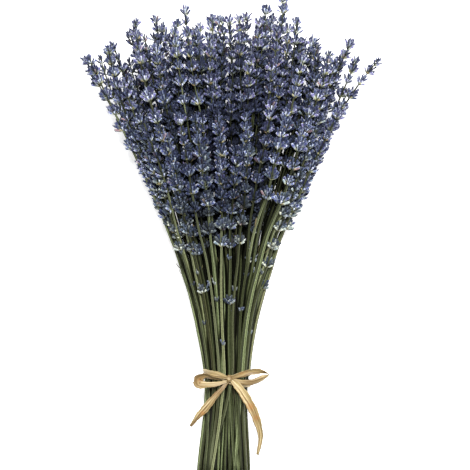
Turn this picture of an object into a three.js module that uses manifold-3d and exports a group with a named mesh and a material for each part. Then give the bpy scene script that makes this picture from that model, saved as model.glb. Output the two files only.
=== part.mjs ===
// A bunch of dried lavender, lying down: stems with their flower spikes, tied with one strip of raffia.
// Millimetres. +X runs to the right, +Y from the cut ends to the flower tips, +Z up from the surface.

import * as THREE from 'three';
import { mergeVertices } from 'three/addons/utils/BufferGeometryUtils.js';
import Module from 'manifold-3d';

const wasm = await Module();
wasm.setup();

// Driving dimensions

// The stems stand in cells of four, two by two. The rows of cells run from the surface up.
const cellsInRow = [4, 6, 7, 6, 4];
const middleRow = (cellsInRow.length - 1) / 2;
const middleCell = (Math.max(...cellsInRow) - 1) / 2;

// The raffia's wrap. It lies on the surface, and in a plane that slopes down to the right.
const wrap = { width: 6.4, thick: 1, gap: 0.3, middleY: 4.7, slope: -0.23, corners: 16 };

// How the cells open out along the bunch, with y measured from the tie. lift is how far the lowest stems are
// off the surface, apart is the share of a cell between its two stems, thick is a stem's side, and wander is
// how far a stem strays inside its own quarter of the cell.
const stations = [
  { y: -88, cellWidth: 6.9, cellDepth: 6.5, lift: 0, apart: 0.49, thick: 2.7, wander: 0.3 },
  { y: 0, cellWidth: 5.8, cellDepth: 5.7, lift: wrap.gap + wrap.thick, apart: 0.435, thick: 2.9, wander: 0 },
  { y: 60, cellWidth: 9, cellDepth: 7.6, lift: 1.6, apart: 0.46, thick: 2.6, wander: 0.6 },
  { y: 120, cellWidth: 13.9, cellDepth: 11, lift: 2.5, apart: 0.45, thick: 2.3, wander: 0.7 },
  { y: 185, cellWidth: 21.7, cellDepth: 15.6, lift: 4.5, apart: 0.45, thick: 2, wander: 0.6 },
  { y: 265, cellWidth: 32.4, cellDepth: 20.5, lift: 6, apart: 0.45, thick: 1.8, wander: 0.5 },
  { y: 350, cellWidth: 40.2, cellDepth: 24, lift: 6.5, apart: 0.46, thick: 1.6, wander: 0.45 },
];
const stemsInCell = 4;
const cutShiftX = -2.8; // how far the cut ends stand to the left of the tie
const cutSpread = 5; // how much longer the longest cut ends are than the shortest
const wallGap = 0.2; // what a stem or floret keeps to the edge of its own room
const jointGap = 0.3; // between a stem's top and the flower spike that stands on it
const topStretch = 12; // the least length of a stem's last straight stretch

// Tip heights follow a dome over the fan. Each cell ends lower than the dome by a share that depends on its
// row, from the least to the most, and each spike strays from its cell's height.
const tips = { centreY: 341, edgeDrop: 45, spread: 18, strayRise: 2 };
const rowDrops = [
  { least: 0.1, most: 0.3 },
  { least: 0.02, most: 0.22 },
  { least: 0, most: 0.15 },
  { least: 0.06, most: 0.27 },
  { least: 0.2, most: 0.38 },
];

// A flower spike: gaps between its whorls from the lowest up, its core from foot to top, and its florets.
const spike = {
  gaps: [17, 16, 15, 14, 12],
  footRadius: 1.1,
  waistRadius: 1.5,
  budRadius: 2.4,
  budLength: 11,
};
const floret = { reach: 7.5, least: 0.88, low: 0.68, high: 0.92, swing: 0.35 };
const shortestFloret = 0.15; // of its full reach, where its room is narrow
const looseWhorl = { share: 0.35, height: 10, gap: 17 };
const sides = 4;

// How a floret is lengthened to hold the neighbour's spike: how far above that spike's base it may reach it,
// and how far past its axis it goes.
const link = { rise: 5, past: 0.9 };

// Stems that lean out of the fan on their own: row, cell, quarter, and how far sideways at the top station.
const strays = [
  { row: 2, cell: 6, quarter: 3, outX: 68 },
  { row: 3, cell: 5, quarter: 1, outX: 16 },
  { row: 2, cell: 0, quarter: 0, outX: -36 },
  { row: 2, cell: 0, quarter: 2, outX: -22 },
];
const leanStartY = 120;
const farOut = 50; // a stray that leans further than this stands clear of its cell

// The raffia's bow. Heights are over the top of the wrap.
const knot = { x: 3, y: 3.6, height: 2.6, halfX: 4.6, halfY: 4.4, halfZ: 3.6 };
const stripThick = 0.9;
const loopSteps = 14;
const tailSteps = 9;

// Each point of a strip's route: x, y, height, width, and roll in degrees from lying flat.
const leftLoop = [
  [2, 1.5, 2.6, 3.4, 20],
  [-12, -2.1, 4.4, 5.2, 32],
  [-25, -1.6, 4.2, 6.4, 60],
  [-31.4, 2.7, 2.6, 6.6, 90],
  [-24.5, 6.7, 3.6, 6.2, 120],
  [-11, 6.3, 4.8, 5, 140],
  [3, 4, 2.8, 3.2, 155],
];
const rightLoop = [
  [3, 4.4, 2.8, 3.4, 15],
  [12.5, 8.6, 4.6, 4.4, 38],
  [23, 13, 5, 5.8, 52],
  [33.5, 11.4, 4.4, 6.2, 66],
  [38.8, 7.4, 4, 6.2, 90],
  [33.5, 3.2, 4, 6, 115],
  [23, 0.3, 4.2, 5, 130],
  [12.5, 1.5, 3.6, 3.8, 148],
  [4, 3, 2.6, 3.2, 160],
];
const leftTail = [
  [2, 2.5, 2, 3, 10],
  [-4.5, -7.5, 3.6, 3.8, 2],
  [-16, -19, 3, 5.8, -5],
  [-26, -29.5, 0, 6.2, -14],
  [-33.8, -40.6, -5.8, 2, -30],
];
const rightTail = [
  [4, 3.4, 2.8, 3, 0],
  [10, -6, 4, 4.4, 6],
  [18, -20, 3, 6.9, 13],
  [26.5, -34, -0.8, 6.8, 22],
  [31, -50, -7.4, 4.8, 32],
  [29.6, -64.6, -12.2, 2.2, 40],
];

const stemLook = { color: 0x7f8560, roughness: 0.75, metalness: 0 };
const flowerLook = { color: 0x62658c, roughness: 0.9, metalness: 0 };
const raffiaLook = { color: 0xc9a871, roughness: 0.7, metalness: 0 };

// A number for each thing that is drawn by chance, so that the draws don't go together.
const salts = {
  stemX: 1,
  stemZ: 21,
  cellHeight: 127,
  tipHeight: 147,
  loose: 43,
  cut: 44,
  angle: 51,
  reach: 52,
  rise: 53,
  turn: 54,
};

// A repeatable draw from 0 to 1 for a numbered stem or floret.
function draw(number, salt) {
  const wave = Math.sin(number * 12.9898 + salt * 78.233) * 43758.5453;
  return wave - Math.floor(wave);
}

// The same draw from -1 to 1.
function swing(number, salt) {
  return 2 * draw(number, salt) - 1;
}

// A value of the stations at a height, on straight lines between them.
function along(values, y) {
  let k = 1;
  while (k < stations.length - 1 && stations[k].y < y) k += 1;
  const low = stations[k - 1];
  const high = stations[k];
  return THREE.MathUtils.lerp(values[k - 1], values[k], (y - low.y) / (high.y - low.y));
}

const stationWidths = stations.map((station) => station.cellWidth);
const stationDepths = stations.map((station) => station.cellDepth);
const stationThicks = stations.map((station) => station.thick);

// The height of the middle row: the lowest stems are their lift off the surface.
const stationMiddles = stations.map(
  (station) => station.lift + station.thick / 2 + (middleRow + station.apart / 2) * station.cellDepth,
);

// The middle of the bunch sideways: straight from the tie up, a little off below it.
function middleXAt(y) {
  return y < 0 ? (cutShiftX * y) / stations[0].y : 0;
}

// How far a stem may stray from its place in a cell of some size.
function freePlay(station, size) {
  const nearWall = (Math.min(station.apart, 1 - station.apart) / 2) * size;
  return Math.max(0, nearWall - station.thick / 2 - wallGap) * station.wander;
}

// One stem: where its cell is, which quarter of it the stem has, its route and its heights.
function makeStem(row, cell, quarter, number) {
  const sideX = quarter % 2 ? 1 : -1;
  const sideZ = quarter > 1 ? 1 : -1;
  const cellU = cell - (cellsInRow[row] - 1) / 2;
  const cellV = row - middleRow;
  const stray = strays.find((s) => s.row === row && s.cell === cell && s.quarter === quarter);
  const outX = stray?.outX ?? 0;
  const routeX = stations.map((station, k) => {
    const lean = Math.max(0, station.y - leanStartY) / (stations.at(-1).y - leanStartY);
    const placed = middleXAt(station.y) + (cellU + (sideX * station.apart) / 2) * station.cellWidth;
    const strayed = placed + swing(number, k + salts.stemX) * freePlay(station, station.cellWidth);
    return strayed + outX * lean ** 4;
  });
  const routeZ = stations.map((station, k) => {
    const placed = stationMiddles[k] + (cellV + (sideZ * station.apart) / 2) * station.cellDepth;
    const strayed = placed + swing(number, k + salts.stemZ) * freePlay(station, station.cellDepth);
    return Math.max(strayed, station.lift + station.thick / 2);
  });
  const dome = tips.centreY - tips.edgeDrop * (cellU / middleCell) ** 2;
  const hasStray = strays.some((s) => s.row === row && s.cell === cell);
  const { least, most } = rowDrops[row];
  const chance = draw(row * 10 + cell, salts.cellHeight);
  const cellDrop = hasStray ? least : THREE.MathUtils.lerp(least, most, chance);
  const ownRise = tips.spread * swing(number, salts.tipHeight);
  const tipY = stray ? dome + tips.strayRise : dome * (1 - cellDrop) + ownRise;
  const loose = !stray && draw(number, salts.loose) < looseWhorl.share;
  const spikeLength = spike.gaps.reduce((sum, gap) => sum + gap, 0) + spike.budLength;
  const baseY = tipY - spikeLength - (loose ? looseWhorl.height + looseWhorl.gap : 0);
  const cutY = stations[0].y + cutSpread * draw(number, salts.cut);
  const clear = Math.abs(outX) > farOut;
  return { number, row, cellU, cellV, sideX, sideZ, routeX, routeZ, loose, clear, baseY, tipY, cutY };
}

// The point of a stem's axis at a height.
function axisAt(stem, y) {
  return new THREE.Vector3(along(stem.routeX, y), y, along(stem.routeZ, y));
}

// A four-sided ring of a stem or spike at a height, turned about the stem.
function ringAt(stem, y, radius, turn) {
  const centre = axisAt(stem, y);
  return Array.from({ length: sides }, (_, j) => {
    const angle = turn + ((j + 0.5) * 2 * Math.PI) / sides;
    return new THREE.Vector3(centre.x + radius * Math.cos(angle), y, centre.z + radius * Math.sin(angle));
  });
}

// A closed geometry from triangles given as three points each.
function geometryOf(triangles) {
  const geometry = new THREE.BufferGeometry();
  geometry.setFromPoints(triangles.flat());
  return mergeVertices(geometry, 1e-4);
}

// The flat end of a ring, facing along +Y or back.
function capTriangles(ring, facesTips) {
  const middle = ring.slice(1, -1).map((point, j) => [ring[0], point, ring[j + 2]]);
  return facesTips ? middle.map(([a, b, c]) => [a, c, b]) : middle;
}

// The wall between two rings.
function wallTriangles(low, high) {
  return low.flatMap((a, j) => {
    const b = low[(j + 1) % low.length];
    const c = high[(j + 1) % low.length];
    const d = high[j];
    return [[a, d, c], [a, c, b]];
  });
}

// A wall whose every side is drawn out to a floret's point.
function floretTriangles(low, high, points) {
  return points.flatMap((point, j) => {
    const a = low[j];
    const b = low[(j + 1) % sides];
    const c = high[(j + 1) % sides];
    const d = high[j];
    return [[a, point, b], [b, point, c], [c, point, d], [d, point, a]];
  });
}

// A closed geometry as a solid that can be joined to others.
function solidOf(geometry) {
  return new wasm.Manifold(
    new wasm.Mesh({
      numProp: 3,
      vertProperties: geometry.getAttribute('position').array,
      triVerts: new Uint32Array(geometry.index.array),
    }),
  );
}

// Several solids joined into one geometry.
function joined(solids) {
  const mesh = solids.reduce((whole, solid) => whole.add(solid)).getMesh();
  const geometry = new THREE.BufferGeometry();
  geometry.setAttribute('position', new THREE.BufferAttribute(mesh.vertProperties, mesh.numProp));
  geometry.setIndex(new THREE.BufferAttribute(mesh.triVerts, 1));
  geometry.computeVertexNormals();
  return geometry;
}

// The bare stem, square in section as in all of its family, from the cut end to the foot of the spike.
function stemSolid(stem) {
  const topY = stem.baseY - jointGap;
  const between = stations.map((station) => station.y).filter((y) => y > stem.cutY && y < topY - topStretch);
  const rings = [stem.cutY, ...between, topY].map((y) => {
    const radius = along(stationThicks, y) / Math.SQRT2;
    return ringAt(stem, y, radius, 0);
  });
  const walls = rings.slice(1).flatMap((ring, k) => wallTriangles(rings[k], ring));
  const ends = [...capTriangles(rings[0], false), ...capTriangles(rings.at(-1), true)];
  return solidOf(geometryOf([...walls, ...ends]));
}

// The room of a stem at a height: its quarter of the cell, open outwards at the sides and top of the bunch.
function roomAt(stem, y) {
  const width = along(stationWidths, y);
  const depth = along(stationDepths, y);
  const middleX = middleXAt(y) + stem.cellU * width;
  const middleZ = along(stationMiddles, y) + stem.cellV * depth;
  const lastCell = (cellsInRow[stem.row] - 1) / 2;
  const outerX = stem.cellU * stem.sideX >= lastCell ? Infinity : width / 2 - wallGap;
  const outerZ = stem.cellV * stem.sideZ >= middleRow ? Infinity : depth / 2 - wallGap;
  return {
    x: [middleX + stem.sideX * wallGap, middleX + stem.sideX * outerX].sort((a, b) => a - b),
    z: [middleZ + stem.sideZ * wallGap, middleZ + stem.sideZ * outerZ].sort((a, b) => a - b),
  };
}

// A floret's point drawn back along its length until it lies in the stem's own room and above the surface.
function keptInRoom(stem, root, point) {
  const room = roomAt(stem, point.y);
  let share = 1;
  for (const axis of ['x', 'z']) {
    const step = point[axis] - root[axis];
    const wall = room[axis][step > 0 ? 1 : 0];
    if (Math.abs(step) > 1e-6) share = Math.min(share, (wall - root[axis]) / step);
  }
  const kept = root.clone().lerp(point, Math.max(share, shortestFloret));
  kept.z = Math.max(kept.z, 0);
  return kept;
}

// The points of one whorl's florets. They lean out and up from the stem.
function floretPoints(stem, whorl, lowY, highY, turn) {
  const forward = axisAt(stem, highY).sub(axisAt(stem, lowY)).normalize();
  const across = forward.clone().cross(new THREE.Vector3(0, 0, 1)).normalize();
  const up = across.clone().cross(forward);
  return Array.from({ length: sides }, (_, j) => {
    const number = stem.number * 100 + whorl * 10 + j;
    const angle = turn + ((j + 1) * 2 * Math.PI) / sides + floret.swing * swing(number, salts.angle);
    const reach = floret.reach * THREE.MathUtils.lerp(floret.least, 1, draw(number, salts.reach));
    const share = THREE.MathUtils.lerp(floret.low, floret.high, draw(number, salts.rise));
    const root = axisAt(stem, THREE.MathUtils.lerp(lowY, highY, share));
    const point = root.clone();
    point.addScaledVector(across, reach * Math.cos(angle));
    point.addScaledVector(up, reach * Math.sin(angle));
    return keptInRoom(stem, root, point);
  });
}

// The heights of a spike's rings, and which stretches between them carry florets.
function spikeRings(stem) {
  const rings = [{ y: stem.baseY, florets: true }];
  if (stem.loose) {
    rings.push({ y: stem.baseY + looseWhorl.height, florets: false });
    rings.push({ y: stem.baseY + looseWhorl.height + looseWhorl.gap, florets: true });
  }
  spike.gaps.forEach((gap) => rings.push({ y: rings.at(-1).y + gap, florets: true }));
  return rings;
}

// A flower spike: a slim core whose sides are drawn out into florets, whorl over whorl, each an eighth of a
// turn on. partner is a neighbour in the same cell that one floret reaches across to, so that both hold.
function spikeSolid(stem, partner) {
  const rings = spikeRings(stem);
  const last = rings.length - 1;
  const turns = [draw(stem.number, salts.turn) * Math.PI];
  for (let k = 1; k <= last; k += 1) turns.push(turns[k - 1] + (rings[k - 1].florets ? Math.PI / 4 : 0));
  const radii = rings.map(() => spike.waistRadius);
  radii[0] = spike.footRadius;
  radii[last] = spike.budRadius;
  const loops = rings.map(({ y }, k) => ringAt(stem, y, radii[k], turns[k]));
  const triangles = [...capTriangles(loops[0], false)];
  for (let k = 0; k < last; k += 1) {
    if (!rings[k].florets) {
      triangles.push(...wallTriangles(loops[k], loops[k + 1]));
      continue;
    }
    const middleTurn = (turns[k] + turns[k + 1]) / 2;
    const points = floretPoints(stem, k, rings[k].y, rings[k + 1].y, middleTurn);
    if (partner && k === linkWhorl(stem, partner)) linkTo(partner, points);
    triangles.push(...floretTriangles(loops[k], loops[k + 1], points));
  }
  const tip = axisAt(stem, stem.tipY);
  loops[last].forEach((a, j) => triangles.push([a, tip, loops[last][(j + 1) % sides]]));
  return solidOf(geometryOf(triangles));
}

// The whorl of a spike that reaches across: the first one whose points are well above the partner's base.
function linkWhorl(stem, partner) {
  const rings = spikeRings(stem);
  return rings.findIndex(({ y, florets }, k) => {
    const next = rings[k + 1];
    return florets && next && THREE.MathUtils.lerp(y, next.y, floret.low) > partner.baseY + link.rise;
  });
}

// The floret that points most nearly at the partner is carried just past the partner's axis.
function linkTo(partner, points) {
  const axis = axisAt(partner, points[0].y);
  const closer = (a, b) => (b.distanceTo(axis) < a.distanceTo(axis) ? b : a);
  const nearest = points.reduce(closer);
  const target = axisAt(partner, nearest.y);
  nearest.lerp(target, 1 + link.past / nearest.distanceTo(target));
}

// All the stems, cell by cell
const cells = [];
let count = 0;
cellsInRow.forEach((cellCount, row) => {
  for (let cell = 0; cell < cellCount; cell += 1) {
    const stems = Array.from({ length: stemsInCell }, (_, quarter) => {
      count += 1;
      return makeStem(row, cell, quarter, count);
    });
    cells.push({ name: `${row + 1}_${cell + 1}`, stems });
  }
});

// The four spikes of a cell. Each but the first reaches across to one before it, unless it stands clear.
function cellSpikes(stems) {
  const partners = [null, stems[0], stems[0], stems[2]];
  return stems.flatMap((stem, quarter) => (stem.clear ? [] : [spikeSolid(stem, partners[quarter])]));
}

// The outline of the stems where the wrap crosses them, as its farthest reach in each direction, with a gap.
function wrapOutline(extra) {
  const corners = cells.flatMap(({ stems }) =>
    stems.flatMap((stem) =>
      [-1, 1].flatMap((edge) => {
        const middle = wrap.middleY + wrap.slope * along(stem.routeX, 0);
        const y = middle + (edge * wrap.width) / 2;
        return ringAt(stem, y, along(stationThicks, y) / Math.SQRT2, 0);
      }),
    ),
  );
  const directions = Array.from({ length: wrap.corners }, (_, k) => {
    const angle = (k * 2 * Math.PI) / wrap.corners;
    const reach = Math.max(...corners.map((p) => p.x * Math.cos(angle) + p.z * Math.sin(angle)));
    return { angle, reach: reach + extra };
  });
  return directions.map((here, k) => {
    const next = directions[(k + 1) % wrap.corners];
    const sine = Math.sin(next.angle - here.angle);
    const x = (here.reach * Math.sin(next.angle) - next.reach * Math.sin(here.angle)) / sine;
    const z = (next.reach * Math.cos(here.angle) - here.reach * Math.cos(next.angle)) / sine;
    return new THREE.Vector2(x, z);
  });
}

const wrapTop = Math.max(...wrapOutline(wrap.gap + wrap.thick).map((point) => point.y));

// The wrap: a flat ring of strip drawn tight round the stems.
function wrapSolid() {
  const shape = new THREE.Shape(wrapOutline(wrap.gap + wrap.thick));
  shape.holes.push(new THREE.Path(wrapOutline(wrap.gap)));
  const ring = new THREE.ExtrudeGeometry(shape, { depth: wrap.width, steps: 1, bevelEnabled: false });
  ring.rotateX(Math.PI / 2);
  ring.translate(0, wrap.width / 2 + wrap.middleY, 0);
  ring.applyMatrix4(new THREE.Matrix4().set(1, 0, 0, 0, wrap.slope, 1, 0, 0, 0, 0, 1, 0, 0, 0, 0, 1));
  ring.deleteAttribute('normal');
  ring.deleteAttribute('uv');
  return solidOf(mergeVertices(ring, 1e-4));
}

// A length of strip along a route: flat, as wide as each point says and rolled about its own line.
function stripSolid(route, steps) {
  const places = route.map(([x, y, height]) => new THREE.Vector3(x, y, wrapTop + height));
  const widthsAndRolls = route.map(([, , , width, roll]) => new THREE.Vector3(width, roll, 0));
  const curve = new THREE.CatmullRomCurve3(places);
  const sizes = new THREE.CatmullRomCurve3(widthsAndRolls);
  const rings = Array.from({ length: steps + 1 }, (_, k) => {
    const centre = curve.getPoint(k / steps);
    const { x: width, y: roll } = sizes.getPoint(k / steps);
    const forward = curve.getTangent(k / steps);
    const across = forward.clone().cross(new THREE.Vector3(0, 0, 1)).normalize();
    across.applyAxisAngle(forward, THREE.MathUtils.degToRad(roll));
    const face = across.clone().cross(forward);
    return [[1, 1], [-1, 1], [-1, -1], [1, -1]].map(([a, b]) =>
      centre.clone().addScaledVector(across, (a * width) / 2).addScaledVector(face, (b * stripThick) / 2),
    );
  });
  const walls = rings.slice(1).flatMap((ring, k) => wallTriangles(rings[k], ring));
  const ends = [...capTriangles(rings[0], false), ...capTriangles(rings.at(-1), true)];
  return solidOf(geometryOf([...walls, ...ends]));
}

// The knot, a tight lump that the loops and tails come out of.
function knotSolid() {
  const lump = new THREE.SphereGeometry(1, 10, 7);
  lump.scale(knot.halfX, knot.halfY, knot.halfZ);
  lump.translate(knot.x, knot.y, wrapTop + knot.height);
  lump.deleteAttribute('normal');
  lump.deleteAttribute('uv');
  return solidOf(mergeVertices(lump, 1e-4));
}

function addMesh(group, name, geometry, look) {
  const mesh = new THREE.Mesh(geometry, new THREE.MeshStandardMaterial(look));
  mesh.name = name;
  group.add(mesh);
}

const bunch = new THREE.Group();
for (const { name, stems } of cells) {
  addMesh(bunch, `stems_${name}`, joined(stems.map(stemSolid)), stemLook);
  addMesh(bunch, `flowers_${name}`, joined(cellSpikes(stems)), flowerLook);
}
const clearStem = cells.flatMap(({ stems }) => stems).find((stem) => stem.clear);
addMesh(bunch, 'flowers_stray', joined([spikeSolid(clearStem, null)]), flowerLook);
const loops = [leftLoop, rightLoop].map((route) => stripSolid(route, loopSteps));
const tails = [leftTail, rightTail].map((route) => stripSolid(route, tailSteps));
addMesh(bunch, 'raffia_bow', joined([wrapSolid(), knotSolid(), ...loops, ...tails]), raffiaLook);

// The origin is the middle of the bunch's outline, on the surface it lies on.
const outline = new THREE.Box3().setFromObject(bunch, true);
const middle = outline.getCenter(new THREE.Vector3());
bunch.position.set(-middle.x, -middle.y, -outline.min.z);

const part = new THREE.Group();
part.add(bunch);

export default part;
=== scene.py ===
import math

import bpy
import numpy as np
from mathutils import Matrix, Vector


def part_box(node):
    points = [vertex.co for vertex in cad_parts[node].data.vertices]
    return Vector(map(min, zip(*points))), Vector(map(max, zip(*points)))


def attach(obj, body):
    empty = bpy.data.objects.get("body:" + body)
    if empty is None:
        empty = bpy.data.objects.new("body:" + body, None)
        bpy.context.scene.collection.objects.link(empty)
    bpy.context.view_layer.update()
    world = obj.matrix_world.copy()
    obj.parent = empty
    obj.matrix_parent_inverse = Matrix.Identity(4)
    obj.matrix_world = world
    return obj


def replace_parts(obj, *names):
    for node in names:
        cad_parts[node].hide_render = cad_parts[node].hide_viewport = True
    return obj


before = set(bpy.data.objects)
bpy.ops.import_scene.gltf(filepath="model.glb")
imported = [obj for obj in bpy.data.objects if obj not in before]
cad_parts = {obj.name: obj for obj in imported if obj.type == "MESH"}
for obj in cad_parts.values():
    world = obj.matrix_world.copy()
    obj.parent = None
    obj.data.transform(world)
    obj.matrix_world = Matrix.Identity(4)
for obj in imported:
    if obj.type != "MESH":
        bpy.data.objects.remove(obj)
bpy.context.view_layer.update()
mm = 0.001

# the fan of stems, in millimetres from the middle of the tie, as the solids have it
bunch = {
    "cellsInRow": [4, 6, 7, 6, 4],          # cells of four stems, the rows from the floor up
    "stationY": [-88, 0, 60, 120, 185, 265, 350],
    "cellWidth": [6.9, 5.8, 9, 13.9, 21.7, 32.4, 40.2],
    "cellDepth": [6.5, 5.7, 7.6, 11, 15.6, 20.5, 24],
    "lift": [0, 1.3, 1.6, 2.5, 4.5, 6, 6.5],
    "apart": [0.49, 0.435, 0.46, 0.45, 0.45, 0.45, 0.46],
    "thick": [2.7, 2.9, 2.6, 2.3, 2, 1.8, 1.6],
    "wander": [0.3, 0, 0.6, 0.7, 0.6, 0.5, 0.45],
    "wallGap": 0.2,
    "cutShiftX": -2.8,
    "cutSpread": 5,
    "domeY": 341,                           # height of the highest tips over the tie
    "domeDrop": 45,
    "rowDrops": [(0.1, 0.3), (0.02, 0.22), (0, 0.15), (0.06, 0.27), (0.2, 0.38)],
    "tipSpread": 18,
    # stems that lean out: row, cell and quarter, and how far out their tops are
    "strays": {(2, 6, 3): 68, (3, 5, 1): 16, (2, 0, 0): -36, (2, 0, 2): -22},
    "strayRise": 2,
    "clearFrom": 50,                        # a spike that is further out has a piece of its own
    "leanStartY": 120,
    "leanPower": 4,
    "ringGap": 12,                          # the solids' stems have no ring closer than this under a spike
    "spikeGap": 0.3,                        # and end this far under it
    # the photo's outline of the stems, as a factor and a shift to the side, by height
    "gather": ([-20, -4, 12, 30, 58, 85, 100], [1.05, 1, 1, 0.98, 0.945, 0.97, 1]),
    "shift": ([-10, 0, 110, 140, 170], [-0.6, 0, 0, -1.4, 0]),
}

# heights of the whorls over a spike's foot, and of the loose whorl that some have below
spike = {
    "whorlY": [0, 16.5, 32, 46, 58, 68, 76.5],
    "most": 10,             # no stem has more whorls, which keeps their numbers apart
    "uneven": 1.2,
    "length": 85,
    "looseShare": 0.35,
    "looseDrop": 27,
}


# always the same number from 0 to 1 for the same number and salt
def draw(number, salt):
    wave = np.sin(number * 12.9898 + salt * 78.233) * 43758.5453
    return wave - np.floor(wave)


def swing(number, salt):
    return 2 * draw(number, salt) - 1


def between(ends, share):
    return ends[0] + (ends[1] - ends[0]) * share


byStation = ("stationY", "cellWidth", "cellDepth", "thick", "apart", "lift")
stationY, cellWidth, cellDepth, stemThick, apart, lift = (np.array(bunch[key], float) for key in byStation)
middleRow = (len(bunch["cellsInRow"]) - 1) / 2
middleCell = (max(bunch["cellsInRow"]) - 1) / 2
middleZ = lift + stemThick / 2 + (middleRow + apart / 2) * cellDepth
middleX = np.where(stationY < 0, bunch["cutShiftX"], 0)
leanShare = np.maximum(0, stationY - bunch["leanStartY"]) / (stationY[-1] - bunch["leanStartY"])
leanShare = leanShare ** bunch["leanPower"]


def freePlay(size):
    nearWall = np.minimum(apart, 1 - apart) / 2 * size
    return np.maximum(0, nearWall - stemThick / 2 - bunch["wallGap"]) * np.array(bunch["wander"])


def makeStem(row, cell, quarter, number):
    sideX = 1 if quarter % 2 else -1
    sideZ = 1 if quarter > 1 else -1
    cellU = cell - (bunch["cellsInRow"][row] - 1) / 2
    cellV = row - middleRow
    outX = bunch["strays"].get((row, cell, quarter), 0)
    k = np.arange(len(stationY))
    routeX = middleX + (cellU + sideX * apart / 2) * cellWidth
    routeX = routeX + swing(number, k + 1) * freePlay(cellWidth) + outX * leanShare
    routeZ = middleZ + (cellV + sideZ * apart / 2) * cellDepth + swing(number, k + 21) * freePlay(cellDepth)
    dome = bunch["domeY"] - bunch["domeDrop"] * (cellU / middleCell) ** 2
    hasStray = any((row, cell, q) in bunch["strays"] for q in range(4))
    drops = bunch["rowDrops"][row]
    drop = drops[0] if hasStray else between(drops, draw(row * 10 + cell, 127))
    tipY = dome * (1 - drop) + bunch["tipSpread"] * swing(number, 147)
    if outX:
        tipY = dome + bunch["strayRise"]
    footY = tipY - spike["length"]
    loose = not outX and draw(number, 43) < spike["looseShare"]
    return {
        "number": number,
        "routeX": routeX,
        "routeZ": np.maximum(routeZ, lift + stemThick / 2),
        "tipY": tipY,
        "footY": footY,
        "looseY": footY - spike["looseDrop"] if loose else None,
        "cutY": stationY[0] + bunch["cutSpread"] * draw(number, 44),
        "cell": f"{row + 1}_{cell + 1}",
        "clear": abs(outX) > bunch["clearFrom"],
    }


def makeStems():
    stems = []
    for row, cellCount in enumerate(bunch["cellsInRow"]):
        for cell in range(cellCount):
            for quarter in range(4):
                stems.append(makeStem(row, cell, quarter, len(stems) + 1))
    return stems


stems = makeStems()


# where the tie's middle stands in the frame, from the solid of the lowest left cell
def tiePlace():
    cellStems = [s for s in stems if s["cell"] == "1_1"]
    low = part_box("stems_1_1")[0]
    edges = []
    for s in cellStems:
        top = s["looseY"] or s["footY"]
        rings = [y for y in stationY if s["cutY"] < y < top - bunch["ringGap"]]
        for y in [s["cutY"], *rings, top - bunch["spikeGap"]]:
            edges.append(np.interp(y, stationY, s["routeX"]) - np.interp(y, stationY, stemThick) / 2)
    return np.array([low.x / mm - min(edges), low.y / mm - min(s["cutY"] for s in cellStems), 0.0])


tie = tiePlace()
print("tie stands at", tie.round(2), "mm")


# a smooth curve through the stations, straight on past the last one
def smoothAlong(values, y):
    slopes = np.gradient(values, stationY)
    k = np.clip(np.searchsorted(stationY, y) - 1, 0, len(stationY) - 2)
    span = stationY[k + 1] - stationY[k]
    t = (y - stationY[k]) / span
    f = np.clip(t, 0, 1)
    a = (1 + 2 * f) * (1 - f) ** 2 * values[k] + f * (1 - f) ** 2 * span * slopes[k]
    b = f ** 2 * (3 - 2 * f) * values[k + 1] - f ** 2 * (1 - f) * span * slopes[k + 1]
    return a + b + np.where(t > 1, (t - 1) * span * slopes[k + 1], 0)


# how a stem strays from its route, in millimetres. Far is how far at most
bends = {
    "arc": {"far": 2.4, "fromY": 12, "length": 130},
    "cut": {"slant": -0.022, "fromY": -6},
    "weave": {"far": 0.3, "wave": 17, "fullAt": 30},
    "sway": {"far": 4, "fromY": 130, "length": 200, "power": 1.5},
    "ripple": {"far": 1.2, "wave": 31, "fromY": 130, "length": 60},
    "phase": 6.3,
    "aside": 0.4,
    "up": {"far": 1.1, "tieY": 4, "fullAt": 25, "least": 0.25},
}


def rising(y, bend):
    return np.clip((y - bend["fromY"]) / bend["length"], 0, 1)


def waving(y, bend, number, salt):
    return bend["far"] * np.sin(y / bend["wave"] + bends["phase"] * draw(number, salt))


def axisPoints(stem, y):
    y = np.asarray(y, float)
    number = stem["number"]
    keys = ("arc", "cut", "weave", "sway", "ripple", "up")
    arc, cut, weave, sway, ripple, up = (bends[key] for key in keys)
    x = smoothAlong(stem["routeX"], y)
    x = x + swing(number, 61) * arc["far"] * np.sin(rising(y, arc) * np.pi)
    x = x + cut["slant"] * np.minimum(y - cut["fromY"], 0) * swing(number, 65)
    x = x + waving(y, weave, number, 62) * np.clip(np.abs(y) / weave["fullAt"], 0, 1)
    swayed = sway["far"] * rising(y, sway) ** sway["power"] * swing(number, 66)
    x = x + (swayed + waving(y, ripple, number, 67) * rising(y, ripple)) + bends["aside"] * swing(number, 63)
    x = x * np.interp(y, *bunch["gather"]) + np.interp(y, *bunch["shift"])
    z = smoothAlong(stem["routeZ"], y)
    z = z + up["far"] * swing(number, 64) * np.clip(np.abs(y - up["tieY"]) / up["fullAt"], up["least"], 1)
    z = np.maximum(z, np.interp(y, stationY, stemThick) / 2)
    return np.stack([x, y, z], axis=-1)


def unit(v):
    return v / np.maximum(np.linalg.norm(v, axis=-1, keepdims=True), 1e-9)


# the faces between rings of points. Closed, they also join the last ring to the first
def ringQuads(rings, sides, closed=False):
    r, k = np.meshgrid(np.arange(rings if closed else rings - 1), np.arange(sides), indexing="ij")
    low = r * sides
    high = (r + 1) % rings * sides
    nextK = (k + 1) % sides
    return np.stack([low + k, low + nextK, high + nextK, high + k], -1).reshape(-1, 4)


# along a tube v is 0 at its foot and 1 at its far rim, and this in the middle of its far end
farV = 1.2


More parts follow.
